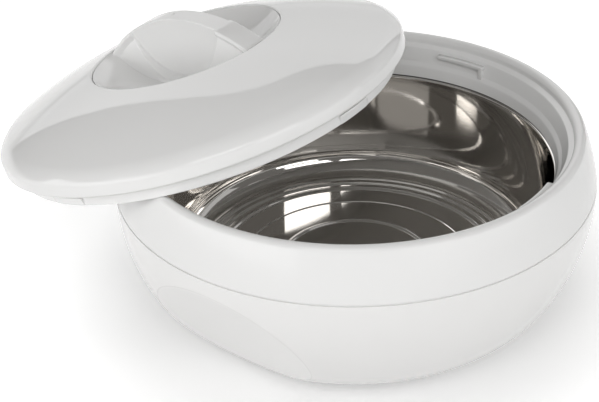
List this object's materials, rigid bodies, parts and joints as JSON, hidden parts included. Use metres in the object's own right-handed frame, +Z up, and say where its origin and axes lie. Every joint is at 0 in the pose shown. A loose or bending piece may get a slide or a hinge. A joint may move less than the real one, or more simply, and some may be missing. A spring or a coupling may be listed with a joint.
{
  "type": "insulated serving bowl",
  "caption": "Double-walled insulated serving bowl with a mirror steel inner bowl and a domed bayonet lid with a dished grip, shown lifted off and leaning on the lip.",
  "frame": {"origin": "middle of the flat base, on the bowl's axis, where it stands on the table", "axes": "+Z up along the bowl's axis; +X to the right and -Y towards the viewer of the picture, the lid leaning towards -X"},
  "size_m": [0.3655, 0.3132, 0.1749],
  "materials": {
    "white_shell": "gloss",
    "white_collar": "gloss",
    "white_lid": "gloss",
    "white_liner": "satin",
    "steel": "mirror polished",
    "foam": "matte",
    "dark_seal": "matte",
    "pale_seal": "satin",
    "plug": "matte"
  },
  "bodies": {
    "bowl": {"outer_shell": "white_shell", "collar": "white_collar", "inner_bowl": "steel", "bowl_foam": "foam", "bowl_seal": "dark_seal", "fill_plug": "plug"},
    "lid_ring": {"lid_seal": "pale_seal"},
    "lid": {"lid_dome": "white_lid", "lid_grip": "white_lid", "lid_liner": "white_liner", "lid_foam": "foam"}
  },
  "joints": [
    {"name": "lid_lift", "type": "slide", "parent": "bowl", "child": "lid_ring", "axis": [0, 0, 1], "range_m": [0, 0.15]},
    {"name": "lid_turn", "type": "hinge", "parent": "lid_ring", "child": "lid", "pos_m": [-0.09323, 0.03843, 0.11779], "axis": [-0.2688, 0.1108, 0.9568], "range_deg": [-16, 16]}
  ]
}
